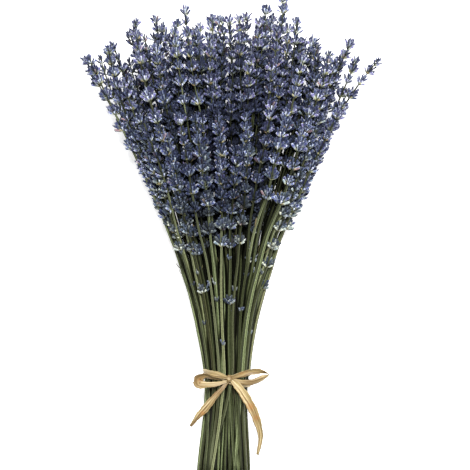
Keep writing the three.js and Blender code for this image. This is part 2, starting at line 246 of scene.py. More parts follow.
# closed tubes swept along rows of points: centre and forward are (tubes, rings, 3)
def sweep(centre, forward, side, radiusA, radiusB, sides, endIn=0.0, lobes=None):
    tubes, rings = centre.shape[:2]
    a = unit(side[:, None, :] - (side[:, None, :] * forward).sum(-1, keepdims=True) * forward)
    b = np.cross(forward, a)
    angle = np.arange(sides) * 2 * np.pi / sides
    lobe = np.ones(sides) if lobes is None else lobes
    ring = (
        centre[:, :, None, :]
        + (radiusA[:, :, None] * np.cos(angle) * lobe)[..., None] * a[:, :, None, :]
        + (radiusB[:, :, None] * np.sin(angle) * lobe)[..., None] * b[:, :, None, :]
    )
    ends = np.stack([centre[:, 0], centre[:, -1] - forward[:, -1] * np.reshape(endIn, (-1, 1))], axis=1)
    points = np.concatenate([ring.reshape(tubes, rings * sides, 3), ends], axis=1)
    quad = ringQuads(rings, sides)
    k = np.arange(sides)
    nextK = (k + 1) % sides
    last = (rings - 1) * sides
    tris = np.concatenate([
        np.stack([np.full(sides, rings * sides), nextK, k], -1),
        np.stack([np.full(sides, rings * sides + 1), last + k, last + nextK], -1),
    ])
    start = (np.arange(tubes) * (rings * sides + 2))[:, None, None]
    # u runs round the tube. The corners that close the round have u one higher
    seam = np.zeros(quad.shape, bool)
    seam[sides - 1::sides, 1:3] = True
    u = np.concatenate([np.tile(np.arange(sides) / sides, rings), [0, 0]])
    v = np.concatenate([np.repeat(np.linspace(0, 1, rings), sides), [0, farV]])
    return {
        "points": points.reshape(-1, 3),
        "quads": (quad[None] + start).reshape(-1, 4),
        "seam": np.tile(seam, (tubes, 1)),
        "tris": (tris[None] + start).reshape(-1, 3),
        "skin": np.tile(np.stack([u, v], -1), (tubes, 1)),
    }


# one mesh from several sweeps. Each comes with its material's number and a tint for each tube or point
def buildObject(name, sweeps, materials):
    points, skins, tints, faces, seams, slots = [], [], [], [], [], []
    offset = 0
    for part, slot, tint in sweeps:
        count = len(part["points"])
        points.append(part["points"])
        skins.append(part["skin"])
        tints.append(np.repeat(tint, count // len(tint), axis=0))
        for some in (part["quads"], part["tris"]):
            faces.append(some + offset)
            seams.append(part["seam"].ravel() if some.shape[1] == 4 else np.zeros(some.size, bool))
            slots.append(np.full(len(some), slot))
        offset += count
    loops = np.concatenate([some.ravel() for some in faces])
    corners = np.concatenate([np.full(len(some), some.shape[1]) for some in faces])
    skins = np.concatenate(skins)[loops]
    skins[:, 0] += np.concatenate(seams)
    tints = np.concatenate(tints)
    tints = np.hstack([tints, np.ones((len(tints), 1))])
    mesh = bpy.data.meshes.new(name)
    mesh.vertices.add(offset)
    mesh.vertices.foreach_set("co", ((np.concatenate(points) + tie) * mm).astype(np.float32).ravel())
    mesh.loops.add(len(loops))
    mesh.loops.foreach_set("vertex_index", loops.astype(np.int32))
    mesh.polygons.add(len(corners))
    mesh.polygons.foreach_set("loop_start", (np.cumsum(corners) - corners).astype(np.int32))
    mesh.polygons.foreach_set("material_index", np.concatenate(slots).astype(np.int32))
    mesh.update(calc_edges=True)
    mesh.validate()
    mesh.uv_layers.new(name="skin").data.foreach_set("uv", skins.astype(np.float32).ravel())
    shade = mesh.attributes.new("tint", "FLOAT_COLOR", "POINT")
    shade.data.foreach_set("color", tints.astype(np.float32).ravel())
    mesh.shade_smooth()
    for material in materials:
        mesh.materials.append(material)
    obj = bpy.data.objects.new(name, mesh)
    bpy.context.collection.objects.link(obj)
    return obj


# materials. A look's ramps are rows of places and of colours, names of colours or shares

def newMaterial(name, look):
    material = bpy.data.materials.new(name)
    material.use_nodes = True
    shader = material.node_tree.nodes["Principled BSDF"]
    shader.inputs["Roughness"].default_value = look["roughness"]
    shader.inputs["Specular IOR Level"].default_value = look["gloss"]
    return material, material.node_tree, shader


def addNode(tree, kind, links, **values):
    node = tree.nodes.new(kind)
    for key, value in values.items():
        setattr(node, key, value)
    for key, value in links.items():
        if isinstance(value, bpy.types.NodeSocket):
            tree.links.new(value, node.inputs[key])
        else:
            node.inputs[key].default_value = value
    return node


def calc(tree, operation, *values):
    return addNode(tree, "ShaderNodeMath", dict(enumerate(values)), operation=operation).outputs[0]


def mixColors(tree, share, first, second, blend="MIX"):
    links = {0: share, 6: first, 7: second}
    return addNode(tree, "ShaderNodeMix", links, data_type="RGBA", blend_type=blend).outputs[2]


def asColor(look, value):
    if isinstance(value, str):
        return look[value]
    return (value, value, value, 1) if isinstance(value, (int, float)) else value


def ramp(tree, source, look, key):
    node = addNode(tree, "ShaderNodeValToRGB", {0: source})
    stops = [(place, asColor(look, value)) for place, value in look[key]]
    elements = node.color_ramp.elements
    for k in (0, -1):
        elements[k].position, elements[k].color = stops[k]
    for place, color in stops[1:-1]:
        elements.new(place).color = color
    return node.outputs["Color"]


def srgb(r, g, b):
    linear = [(c / 255 / 12.92) if c < 10.3 else ((c / 255 + 0.055) / 1.055) ** 2.4 for c in (r, g, b)]
    return (*linear, 1)


# the two directions on a tube, and a tint's three values: chance, the painted light and shade of the place,
# and how blue
def skinParts(tree):
    uv = addNode(tree, "ShaderNodeUVMap", {}, uv_map="skin").outputs[0]
    split = addNode(tree, "ShaderNodeSeparateXYZ", {0: uv}).outputs
    tint = addNode(tree, "ShaderNodeAttribute", {}, attribute_name="tint").outputs["Color"]
    tints = addNode(tree, "ShaderNodeSeparateColor", {0: tint}).outputs
    return {"uv": uv, "u": split[0], "v": split[1], "chance": tints[0], "level": tints[1], "blue": tints[2]}


def stripes(tree, u, look):
    rib = look["stripes"]
    turns = rib["count"] * 2 * math.pi
    wave = calc(tree, "COSINE", calc(tree, "MULTIPLY_ADD", u, turns, -rib.get("start", 0) * turns))
    return calc(tree, "POWER", calc(tree, "MULTIPLY_ADD", wave, 0.5, 0.5), rib["sharp"])


# noise, over the object or stretched along its skin
def noise(tree, look, uv=None):
    if uv:
        place = addNode(tree, "ShaderNodeMapping", {"Vector": uv, "Scale": look["stretch"]}).outputs[0]
    else:
        place = addNode(tree, "ShaderNodeTexCoord", {}).outputs["Object"]
    links = {"Vector": place, "Scale": look["scale"], "Detail": look["detail"]}
    return addNode(tree, "ShaderNodeTexNoise", links).outputs["Fac"]


# a colour over the first one, as far as a ramp of the look or a factor of it says
def overlay(tree, look, color, value, key, top):
    isFactor = isinstance(look[key], (int, float))
    share = calc(tree, "MULTIPLY", value, look[key]) if isFactor else ramp(tree, value, look, key)
    return mixColors(tree, share, color, asColor(look, top))


# painted light and shade: the colour times a ramp of the tint's level
def paintLightAndShade(tree, color, level, look):
    return mixColors(tree, 1.0, color, ramp(tree, level, look, "light"), "MULTIPLY")


def finishMaterial(tree, shader, color, height, look):
    tree.links.new(color, shader.inputs["Base Color"])
    strength, distance = look["bump"]
    bump = addNode(tree, "ShaderNodeBump", {"Height": height, "Strength": strength, "Distance": distance})
    tree.links.new(bump.outputs[0], shader.inputs["Normal"])


calyxLook = {
    "roughness": 0.75, "gloss": 0.2,
    "base": srgb(104, 108, 80),
    "paleBase": srgb(106, 105, 84),
    "foot": srgb(110, 116, 116),
    "grey": srgb(108, 113, 107),
    "teal": srgb(66, 80, 88),
    "body": srgb(44, 51, 89),
    "violet": srgb(62, 57, 95),
    "rib": srgb(164, 172, 176),
    "paleRib": srgb(166, 169, 146),
    # painted shade inside the calyx's open end
    "mouth": srgb(22, 24, 40),
    "rust": srgb(96, 68, 50),
    # by how blue the calyx is
    "hues": [(0.1, "grey"), (0.3, "teal"), (0.45, "body"), (0.6, "body"), (0.8, "violet")],
    "ribHues": [(0.05, "paleRib"), (0.4, "rib")],
    "baseHues": [(0.05, "paleBase"), (0.4, "base")],
    # along the calyx
    "footShare": [(0, 1), (0.3, 0.85), (0.6, 0)],
    "overBase": [(0.24, 0), (0.45, 1)],
    "rimShare": [(0.7, 0), (0.9, 0.3), (1, 0.3)],
    "mouthShadeShare": [(0.985, 0), (1, 0.9)],
    "rustShare": [(0.97, 0), (0.98, 0.6)],
    "stripes": {"count": 2, "sharp": 5, "start": 0.25},
    "ribShare": 0.85,
    # painted light and shade: near black deep in the head, brighter than the calyx's own colour on the most
    # lit places
    "light": [(0, (0.006, 0.011, 0.046, 1)), (0.3, (0.38, 0.42, 0.57, 1)), (1, (2.72, 2.68, 2.64, 1))],
    "bump": (0.5, 0.0002),
}


def makeCalyxMaterial():
    look = calyxLook
    material, tree, shader = newMaterial("calyx", look)
    skin = skinParts(tree)
    hue, ribHue, baseHue = (ramp(tree, skin["blue"], look, key) for key in ("hues", "ribHues", "baseHues"))
    low = overlay(tree, look, baseHue, skin["v"], "overBase", "foot")
    color = overlay(tree, look, hue, skin["v"], "footShare", low)
    color = overlay(tree, look, color, skin["v"], "rimShare", ribHue)
    rib = stripes(tree, skin["u"], look)
    color = overlay(tree, look, color, rib, "ribShare", ribHue)
    color = overlay(tree, look, color, skin["chance"], "rustShare", "rust")
    # painted shade inside the mouth's recess
    color = overlay(tree, look, color, skin["v"], "mouthShadeShare", "mouth")
    finishMaterial(tree, shader, paintLightAndShade(tree, color, skin["level"], look), rib, look)
    return material


petalLook = {
    "roughness": 0.8, "gloss": 0.2,
    "violet": srgb(72, 66, 110),
    "brown": srgb(96, 82, 72),
    "pale": srgb(168, 170, 184),
    "hues": [(0, "violet"), (0.45, "violet"), (0.6, "brown"), (0.85, "pale")],
    "scale": 700, "detail": 3,
    "paleShare": [(0.35, 0), (0.7, 0.6)],
    "bump": (0.5, 0.0002),
}


def makePetalMaterial():
    look = petalLook
    material, tree, shader = newMaterial("driedFlower", look)
    color = ramp(tree, skinParts(tree)["chance"], look, "hues")
    crumple = noise(tree, look)
    color = overlay(tree, look, color, crumple, "paleShare", "pale")
    finishMaterial(tree, shader, color, crumple, look)
    return material


stemLook = {
    "roughness": 0.55, "gloss": 0.15,
    "green": srgb(96, 107, 68),
    "deep": srgb(66, 77, 46),
    "olive": srgb(97, 97, 58),
    "pale": srgb(146, 153, 118),
    "dry": srgb(72, 78, 60),
    "brown": srgb(88, 72, 52),
    # the stem's dark groove colour, also used as painted shade
    "groove": srgb(34, 38, 14),
    "pith": srgb(158, 154, 112),
    "hues": [
        (0, "deep"), (0.2, "green"), (0.42, "green"), (0.55, "olive"), (0.7, "pale"), (0.84, "green"),
        (0.97, "brown"),
    ],
    "stretch": (7, 150, 1), "scale": 1, "detail": 3,
    # by the noise
    "paleShare": [(0.5, 0), (0.7, 0.5)],
    # painted shade in the dents, where the bump's noise is lowest
    "dentShadeShare": [(0.3, 0.6), (0.46, 0)],
    # along the stem
    "dryShare": [(0.55, 0), (0.75, 0.7)],
    "pithShare": [(0, 0.8), (0.001, 0)],
    "stripes": {"count": 4, "sharp": 1.5},
    "grooveShadeShare": 0.6, "ridgePaleAndHighlightShare": 0.3,
    # painted light and shade: dark where the stem lies deep, brighter than its own colour where it lies most
    # open
    "light": [(0, (0.04, 0.04, 0.03, 1)), (0.3, (0.36, 0.36, 0.3, 1)), (1, 1.34)],
    "bump": (0.4, 0.0003),
}


def makeStemMaterial():
    look = stemLook
    material, tree, shader = newMaterial("stem", look)
    skin = skinParts(tree)
    mottle = noise(tree, look, skin["uv"])
    color = ramp(tree, skin["chance"], look, "hues")
    color = overlay(tree, look, color, mottle, "paleShare", "pale")
    color = overlay(tree, look, color, mottle, "dentShadeShare", "groove")
    color = overlay(tree, look, color, skin["v"], "dryShare", "dry")
    ridge = stripes(tree, skin["u"], look)
    # dark grooves between the ridges: partly the stem's own colour, partly painted shade
    grooveShadeShare = calc(tree, "MULTIPLY_ADD", ridge, -look["grooveShadeShare"], look["grooveShadeShare"])
    color = mixColors(tree, grooveShadeShare, color, look["groove"])
    # pale ridge lines, which also stand in for a painted highlight along each ridge
    color = overlay(tree, look, color, ridge, "ridgePaleAndHighlightShare", "pale")
    color = paintLightAndShade(tree, color, skin["level"], look)
    color = overlay(tree, look, color, skin["v"], "pithShare", "pith")
    finishMaterial(tree, shader, color, mottle, look)
    return material


bractLook = {
    "roughness": 0.75, "gloss": 0.2,
    "brown": srgb(116, 98, 70),
    "green": srgb(126, 128, 90),
    "pale": srgb(176, 172, 136),
    "hues": [(0, "green"), (0.6, "brown"), (1, "pale")],
    "stripes": {"count": 0.5, "sharp": 1},
    "veinShare": 0.3,
    # painted light and shade of the bracts, from how light their whorl is painted
    "light": [(0, 0.1), (1, 1.2)],
    "scale": 900, "detail": 2,
    "bump": (0.3, 0.0002),
}


def makeBractMaterial():
    look = bractLook
    material, tree, shader = newMaterial("bract", look)
    skin = skinParts(tree)
    color = ramp(tree, skin["chance"], look, "hues")
    color = overlay(tree, look, color, stripes(tree, skin["v"], look), "veinShare", "green")
    finishMaterial(tree, shader, paintLightAndShade(tree, color, skin["level"], look), noise(tree, look), look)
    return material


raffiaLook = {
    "roughness": 0.5, "gloss": 0.5,
    "straw": srgb(168, 148, 102),
    "pale": srgb(214, 196, 154),
    # the fibres' dark streaks, and also the painted shade
    "brown": srgb(104, 78, 44),
    "spot": srgb(154, 106, 54),
    "stretch": (6, 1.2, 1), "scale": 1, "detail": 5,
    "fibres": [(0.38, "brown"), (0.46, "straw"), (0.55, "straw"), (0.66, "pale")],
    "shadeBrownShare": 0.8,
    "blotch": {"scale": 80, "detail": 2},
    "wornShare": [(0.6, 0), (0.7, 0.5)],
    "spotShare": 0.75,
    "bump": (0.7, 0.0005),
}


# on the raffia the level says how brown the place is painted, as shade, and the blue value where a worn spot
# is
def makeRaffiaMaterial():
    look = raffiaLook
    material, tree, shader = newMaterial("raffia", look)
    skin = skinParts(tree)
    fibre = noise(tree, look, skin["uv"])
    color = ramp(tree, fibre, look, "fibres")
    color = overlay(tree, look, color, skin["level"], "shadeBrownShare", "brown")
    color = overlay(tree, look, color, noise(tree, look["blotch"]), "wornShare", "spot")
    color = overlay(tree, look, color, skin["blue"], "spotShare", "spot")
    finishMaterial(tree, shader, color, fibre, look)
    return material


calyxMaterial = makeCalyxMaterial()
stemMaterial = makeStemMaterial()
petalMaterial = makePetalMaterial()
bractMaterial = makeBractMaterial()
raffiaMaterial = makeRaffiaMaterial()


# more spikes between the cells, so that the head is as full as a real one

filling = {
    "firstNumber": 300,
    "startY": 72,
    "tieStartY": 5,         # the ones beyond the reach can be seen further down, and start at the tie
    "looseShare": 0.2,
    # each: x and y of the tip from the tie, and the level, where 0 is the middle row
    # tips that stand out against the floor
    "tips": [
        (-108, 307, 0.4), (-91, 290, -0.4), (-74, 318, 0.5), (-65, 336, 0), (-58, 328, -0.7), (-47, 309, 0.6),
        (-39, 341, 0.5), (-22, 308, -0.4), (19, 337, -0.4), (34, 341, 0.5), (45, 328, -0.6), (56, 345, 0),
        (67, 333, 0.4), (71, 313, -0.6), (84, 300, 0.6), (92, 304, 0), (104, 298, 0.3), (-52, 316, 0.9),
        (-44, 318, -0.9), (-27, 322, 0.9), (-15, 300, 0.6), (-8, 335, -0.8), (16, 335, 0.7), (27, 330, 0.9),
        (41, 337, -0.7), (60, 325, 0.8), (71, 305, 0.9), (-80, 309, -0.9), (-93, 282, -0.3), (-66, 304, 1),
        (50, 318, 1), (-112, 297, 0.2),
    ],
    # lower ones that fill the two flanks
    "flanks": [
        (-101, 262, 0.35), (-92, 246, -0.4), (-84, 234, 0.1), (-84, 228, 0.5), (-93, 275, 0.7),
        (-86, 254, -0.9), (108, 268, 0.3), (104, 252, -0.35), (99, 243, 0.25), (93, 268, 0.8),
        (95, 236, -0.1), (86, 246, 0.9), (100, 284, -0.8),
    ],
    # even layers in the middle
    "levels": [-1.5, -0.3, 1.3],
    # reach is how far they go to either side, in cells, and reachDrop how much less a level from the middle
    "columns": 7, "reach": 2.9, "reachDrop": 0.75, "uneven": 0.25,
    "topY": 344, "levelDrop": 0.09, "levelPower": 1.6, "tipDrop": 0.22, "sideDrop": 38, "sideCells": 3,
    # deep ones behind the gaps
    "backing": [
        (24, 318, -1.1), (-107, 306, -0.6), (-103, 274, -0.8), (-43, 331, -0.5), (70, 316, -1),
        (99, 264, -0.6), (10, 312, -1.3), (-2, 298, -1.5), (38, 316, -1.3), (54, 312, -1.4),
        (-72, 296, -1.2), (-36, 300, -1.4), (66, 270, -1.2), (-18, 322, -1.1),
    ],
    # short spikes low on the left flank
    "short": [(-78, 204, 0.3), (-75, 200, -0.5)],
    "shortStretch": 0.5,
    "pieces": 3,
}


# the place of the stem number k across its layer, in cells from the middle
def placeInLayer(shape, level, k, number):
    reach = shape["reach"] - shape["reachDrop"] * abs(level)
    return reach * (2 * (k + 0.5) / shape["columns"] - 1) + shape["uneven"] * swing(number, 5)


# a stem at a place across and a level, both in cells from the middle
def stemAt(number, cellU, level, tipY, footY, cutY, **more):
    routeX = middleX + cellU * cellWidth
    routeZ = middleZ + level * cellDepth
    own = {"number": number, "routeX": routeX, "routeZ": routeZ, "tipY": tipY, "footY": footY, "cutY": cutY}
    return {**own, **more}


def makeFiller(number, tipX, tipY, level, stretch=1):
    cellU = tipX / np.interp(tipY, stationY, cellWidth)
    footY = tipY - spike["length"] * stretch
    looseY = footY - spike["looseDrop"] if draw(number, 43) < filling["looseShare"] else None
    cutY = filling["tieStartY"] if abs(cellU) > filling["reach"] else filling["startY"]
    return stemAt(number, cellU, level, tipY, footY, cutY, looseY=looseY, stretch=stretch)


def makeFillers():
    tips = filling["tips"] + filling["flanks"]
    for level in filling["levels"]:
        for k in range(filling["columns"]):
            number = filling["firstNumber"] + len(tips)
            cellU = placeInLayer(filling, level, k, number)
            drop = filling["levelDrop"] * abs(level) ** filling["levelPower"]
            tipY = filling["topY"] * (1 - drop - filling["tipDrop"] * draw(number, 7))
            tipY = tipY - filling["sideDrop"] * (cellU / filling["sideCells"]) ** 2
            tips.append((cellU * np.interp(tipY, stationY, cellWidth), tipY, level))
    tips += filling["backing"] + [(*tip, filling["shortStretch"]) for tip in filling["short"]]
    return [makeFiller(filling["firstNumber"] + k, *tip) for k, tip in enumerate(tips)]


# bare stems between the layers, which end inside the head
inside = {
    "firstNumber": 500,
    "levels": [-1.2, -0.7, -0.2, 0.3, 0.8, 1.3],
    "columns": 12, "reach": 3.1, "reachDrop": 0.8, "uneven": 0.2,
    "startY": 36, "tipY": 215, "spreadY": 20,
}


def makeInside():
    group = []
    for level in inside["levels"]:
        for k in range(inside["columns"]):
            number = inside["firstNumber"] + len(group)
            cellU = placeInLayer(inside, level, k, number)
            ownLevel = level + inside["uneven"] * swing(number, 6)
            tipY = inside["tipY"] + inside["spreadY"] * swing(number, 7)
            cutY = inside["startY"] + inside["spreadY"] * draw(number, 9)
            # with no whorls, their painted whorl light is nought
            group.append(stemAt(number, cellU, ownLevel, tipY, tipY, cutY, whorls=[tipY], open=[0]))
    return group


# the foremost spikes. Their stems lie over the others and cross them at a slant
front = {
    "firstNumber": 400,
    "highest": 89,          # their axes stay under this height
    "proud": [1.1, 0.4, 1.4, 2.6, 4, 4.4, 4.4],
    "sunk": [-1.2, -1.0, 0, 1.6, 4, 4.4, 4.4],
    "proudShares": (0.7, 1.2),
    "surface": ([0, 1.7, 2.6, 3.4], [2, 2, 1, 0]),      # the topmost row at each place across
    "thick": (0.92, 1.1),
    "bulk": 1.06,
    "uneven": 0.1,
    "budY": (28, 118),      # heights of the small buds on their bare stems
    # each: the foot's place across in cells and its height, the places across at the tie and at the cut,
    # a loose whorl's height, and whether the stem goes down between the others before it reaches the tie
    "spikes": [
        (-2.86, 121, -2.7, -2.3, None, False), (-2.09, 120, -1.95, -2.6, 81, False),
        (-0.85, 135, -0.9, -0.2, None, True), (-0.16, 125, -0.3, -1.3, None, False),
        (0.29, 123, 0.45, 1.5, 70, False), (0.85, 126, 0.75, -2.2, None, False),
        (-2.63, 157, -3.0, -2.9, None, True), (-2.04, 142, -2.3, -1.2, None, True),
        (-1.5, 155, -1.2, -1.8, None, False), (-2.1, 164, -2.6, -0.6, None, True),
        (-0.86, 160, -0.6, 0.7, None, True), (-0.08, 142, 0.1, 0.2, None, True),
        (0.57, 154, 1.2, 2.3, None, False), (1.28, 164, 1.75, 0.8, None, False),
        (1.8, 168, 2.15, 2.8, None, True), (2.57, 161, 2.4, 1.7, None, False),
        (3.35, 159, 3.0, 2.9, 84, True), (3.0, 104, 2.8, 3.0, None, False),
        (2.9, 152, 2.4, 1.5, None, True), (1.92, 212, 1.0, -0.4, None, True),
        (2.6, 210, 1.9, 2.4, None, False), (-2.2, 238, -1.6, -0.8, None, True),
    ],
}


def makeFront():
    foremost = []
    for k, (footU, footY, tieU, cutU, looseY, sunk) in enumerate(front["spikes"]):
        number = front["firstNumber"] + k
        cellU = np.interp(stationY, [stationY[0], 0, footY], [cutU, tieU, footU])
        proud = np.array(front["sunk" if sunk else "proud"]) * between(front["proudShares"], draw(number, 6))
        level = np.interp(np.abs(cellU), *front["surface"]) + apart / 2
        cutY = stationY[0] + bunch["cutSpread"] * draw(number, 44)
        stem = stemAt(number, cellU, level, footY + spike["length"], footY, cutY, looseY=looseY)
        stem["routeZ"] = np.minimum(stem["routeZ"] + proud * stemThick, front["highest"])
        stem["thick"] = front["thick"]
        stem["bulk"] = front["bulk"]
        stem["stretch"] = 1 + front["uneven"] * swing(number, 8)
        stem["budY"] = between(front["budY"], draw(number, 98))
        foremost.append(stem)
    return foremost


fillers = makeFillers()
foremost = makeFront()
bareInside = makeInside()


# how open each whorl and each stem lies: 1 where it is the outermost one on some side, and less deeper in.
# The painted shade of whorls, stems, buds and bracts comes from it: deeper ones are painted darker

cover = {
    # the sides that air is looked for on, the last one towards the tips
    "ways": [(0, 0, 1), (0, 0, -1), (1, 0, 0), (-1, 0, 0), (0, 1, 0)],
    "reach": 13,
    "depth": 4.8,
    "whorlMiddle": 5,       # how far a whorl's middle is over its foot
    "stemReach": 2.3,
    "stemDepth": 0.6,
    "stemY": np.arange(-88, 290, 8.0),
    "stemEnds": (-8, -6),   # a stem covers others from and to these heights over its cut and its tip
    # painted light: the thin tops and the flanks are painted lighter, as if more light got in there, and the
    # most lit ones brighter than their own colour
    "topPaintedLight": ([205, 320], [0, 1.1]),
    "flankPaintedLight": ([1.3, 2.6], [0, 1]),
    "paintedLitShares": (0.6, 1),
    "paintedGlow": 0.42,
    # whorls that lie more open than this are made fine, and cells with a stem that does so low down
    "fineOver": 0.3,
    "fineStem": 0.6,
    "fineHeights": 30,
}


def whorlHeights(stem):
    numbers = stem["number"] * spike["most"] + np.arange(len(spike["whorlY"]))
    heights = stem["footY"] + np.array(spike["whorlY"]) * stem.get("stretch", 1)
    heights = heights + spike["uneven"] * swing(numbers, 95)
    return np.concatenate([[stem["looseY"]], heights]) if stem["looseY"] else heights


# how open each place lies, from the vectors between them all. What is ahead of it within reach covers it,
# and its most open side counts
def openness(apartBy, ways, reach, depth, there=True):
    openShare = 0
    for way in ways:
        ahead = apartBy @ np.array(way, float)
        aside = np.sqrt(np.maximum((apartBy ** 2).sum(-1) - ahead ** 2, 0))
        deep = np.where((aside < reach) & there, ahead, 0).max(axis=1)
        openShare = np.maximum(openShare, np.exp(-deep / depth))
    return openShare


def openWhorls(spikes):
    for stem in spikes:
        stem["whorls"] = whorlHeights(stem)
    centres = np.concatenate([axisPoints(s, s["whorls"] + cover["whorlMiddle"]) for s in spikes])
    openShare = openness(centres[None] - centres[:, None], cover["ways"], cover["reach"], cover["depth"])
    cellU = np.abs(centres[:, 0]) / np.interp(centres[:, 1], stationY, cellWidth)
    lit = np.maximum(np.interp(centres[:, 1], *cover["topPaintedLight"]), np.interp(cellU, *cover["flankPaintedLight"]))
    # painted light and shade of each whorl: darker deep in, lighter at the lit tops and flanks
    light = np.maximum(openShare, lit * between(cover["paintedLitShares"], openShare)) * (1 + cover["paintedGlow"] * lit)
    start = 0
    for stem in spikes:
        own = slice(start, start + len(stem["whorls"]))
        stem["fine"] = openShare[own] > cover["fineOver"]
        stem["open"] = light[own]
        start = own.stop


# stems are compared at the same heights, so the last way is left out
def openStems(group):
    y = cover["stemY"]
    low, high = cover["stemEnds"]
    places = np.stack([axisPoints(s, y) for s in group])
    there = np.array([(y > s["cutY"] + low) & (y < s["tipY"] + high) for s in group])
    apartBy = places[None] - places[:, None]
    shares = openness(apartBy, cover["ways"][:-1], cover["stemReach"], cover["stemDepth"], there[None])
    for stem, share in zip(group, shares):
        stem["bare"] = share


spikes = stems + fillers + foremost
openWhorls(spikes)
openStems(spikes + bareInside)
print("spikes placed:", len(spikes))


# stems

stemShape = {
    "rings": {"fine": 44, "plain": 26},
    "sides": {"fine": 8, "plain": 6},
    "corner": 1.2,
    "flat": 0.76,
    "slim": (0.66, 0.92),
    "tipThick": 1.1,
    "tipGap": 5,                # how far the stem ends under its spike's tip
    "floorGap": 0.02,
    "slimFrom": 0.4,            # share of the spike where it starts to thin, and how fast it does
    "slimRate": 2.5,
    # painted shade on bare parts by height, in the spike by the share of it, and how fast one becomes the
    # other
    "bareShadeByHeight": ([140, 220], [1, 0.4]),
    "spikeShadeByShare": ([0.15, 0.5], [1, 0.36]),
    "shadeBlendRate": 8,
    "lights": ([0.25, 0.75], [0.25, 1]),    # by a draw for each stem
}


# keeps every point over the floor
def pressedUp(part):
    part["points"][:, 2] = np.maximum(part["points"][:, 2], stemShape["floorGap"])
    return part


def stemSweep(group, kind):
    sides = stemShape["sides"][kind]
    centres, forwards, radii, sidesOf, tints = [], [], [], [], []
    for stem in group:
        number = stem["number"]
        y = np.linspace(stem["cutY"], stem["tipY"] - stemShape["tipGap"], stemShape["rings"][kind])
        points = axisPoints(stem, y)
        centres.append(points)
        forwards.append(unit(np.gradient(points, axis=0)))
        slim = between(stem.get("thick", stemShape["slim"]), draw(number, 75))
        full = np.interp(y, stationY, stemThick) / 2 * slim
        inSpike = np.clip((y - stem["footY"]) / spike["length"], 0, 1)
        slimming = np.clip((inSpike - stemShape["slimFrom"]) * stemShape["slimRate"], 0, 1)
        radii.append(full * (1 - slimming * (1 - stemShape["tipThick"] / 2 / full[-1])))
        angle = 2 * np.pi * draw(number, 71)
        sidesOf.append([np.cos(angle), 0, np.sin(angle)])
        # painted shade: bare parts are painted as light as they lie open, the part in the spike as light as
        # its whorls are painted
        bare = np.interp(y, cover["stemY"], stem["bare"]) * np.interp(y, *stemShape["bareShadeByHeight"])
        among = np.interp(inSpike, *stemShape["spikeShadeByShare"]) * np.interp(y, stem["whorls"], stem["open"])
        level = bare + (among - bare) * np.clip(inSpike * stemShape["shadeBlendRate"], 0, 1)
        level = level * np.interp(draw(number, 73), *stemShape["lights"])
        level = np.concatenate([np.repeat(level, sides), level[[0, -1]]])
        tints.append(np.stack([np.full_like(level, draw(number, 72)), level, level], -1))
    radii = np.array(radii)
    lobes = np.array([stemShape["corner"], stemShape["flat"]] * (sides // 2))
    part = sweep(np.array(centres), np.array(forwards), np.array(sidesOf), radii, radii, sides, lobes=lobes)
    return pressedUp(part), np.concatenate(tints)


# whorls: two tufts that face each other, each of three tiers of calyxes

whorlShape = {
    # calyxes in a tuft, how far they fan out round the stem and lean away from it, in degrees, and how light
    # each tier is painted: the inner tiers darker, as painted shade
    "tiers": [
        {"count": 4, "spread": 74, "tilt": 72, "rise": 0.0, "length": 6.2, "light": 1.0},
        {"count": 4, "spread": 68, "tilt": 52, "rise": 1.4, "length": 6.3, "light": 0.5},
        {"count": 3, "spread": 56, "tilt": 24, "rise": 2.8, "length": 6.0, "light": 0.36},
    ],
    "fewerFrom": 0.8,           # tiers have one calyx fewer over this share of the spike, and if not fine
    "topSpread": 12,
    "radius": 0.93,
    "out": 0.8,                 # how far from the stem's axis they start
    "rise": 2.6,
    "sizes": (0.84, 1.16),
    "lowSize": ([110, 165], [0.8, 1.0]),    # smaller low on the bunch
    # from a spike's foot to its top. Closing is the share of the tilt that is left at a calyx's end
    "footToTop": {"size": (1.2, 0.93), "tilt": (1.0, 0.72), "closing": (0.5, 0.84), "disorder": (1.0, 2.0)},
    # what disorder does to the angle, the tilt in degrees and the rise
    "turns": (-0.2, 0.2),
    "tilts": (-11, 11),
    "rises": (-0.6, 0.7),
    "lengths": (0.86, 1.1),
    "lights": (0.2, 1),
    # how a whorl's painted light scales the painted shade of its calyxes
    "openLights": (0.03, 1),
    "mouthDepth": 0.14,
    "steadying": (0.013, 0.007, 0.011),
    "fine": {"rings": [0, 0.34, 0.8, 1.0], "profile": [0.55, 0.86, 1.0, 0.66], "sides": 5},
    "plain": {"rings": [0, 0.6, 1.0], "profile": [0.4, 1.0, 0.7], "sides": 4},
}
budShape = {
    "count": 5, "turn": 40, "heights": (0, 3), "length": 4.4, "lengths": (0.8, 1.2), "tilts": (0.5, 0.2),
    "size": 0.74, "lights": (0.15, 0.6),
}
petalShape = {
    "share": 0.12, "length": 2.3, "lengths": (0.7, 1.3), "aside": 0.7,
    "deep": 0.9,                # how far down the calyx it starts
    "rings": [0, 0.5, 1.0], "profile": [0.6, 1.0, 0.4], "width": 0.75, "thick": 0.14,
}
bractShape = {
    "count": 3, "most": 4, "turn": 0.4, "rise": 1.6, "riseSpread": 0.8,
    "out": 0.5, "length": 4.8, "lengths": (0.6, 1.1),
    "bend": (0.3, 0.45),        # share of forward at the foot, and of outward at the tip
    "rings": [0.05, 0.5, 1.0], "profile": [0.5, 1.0, 0.1], "width": 1.5, "thick": 0.12,
}
# how blue a calyx is: the least, what its stem and its own draw add, and what the height does
blueness = {
    "least": 0.13, "stem": 0.4, "own": 0.45,
    "low": ([130, 200], [-0.4, 0]), "top": ([220, 280], [0, 0.22]),
}


def bentRows(start, firstWay, lastWay, length, places):
    s = np.asarray(places)[None, :, None]
    way = firstWay[:, None, :] * (1 - s) + lastWay[:, None, :] * s
    centre = start[:, None, :] + length[:, None, None] * (
        firstWay[:, None, :] * (s - s ** 2 / 2) + lastWay[:, None, :] * (s ** 2 / 2)
    )
    return centre, unit(way)


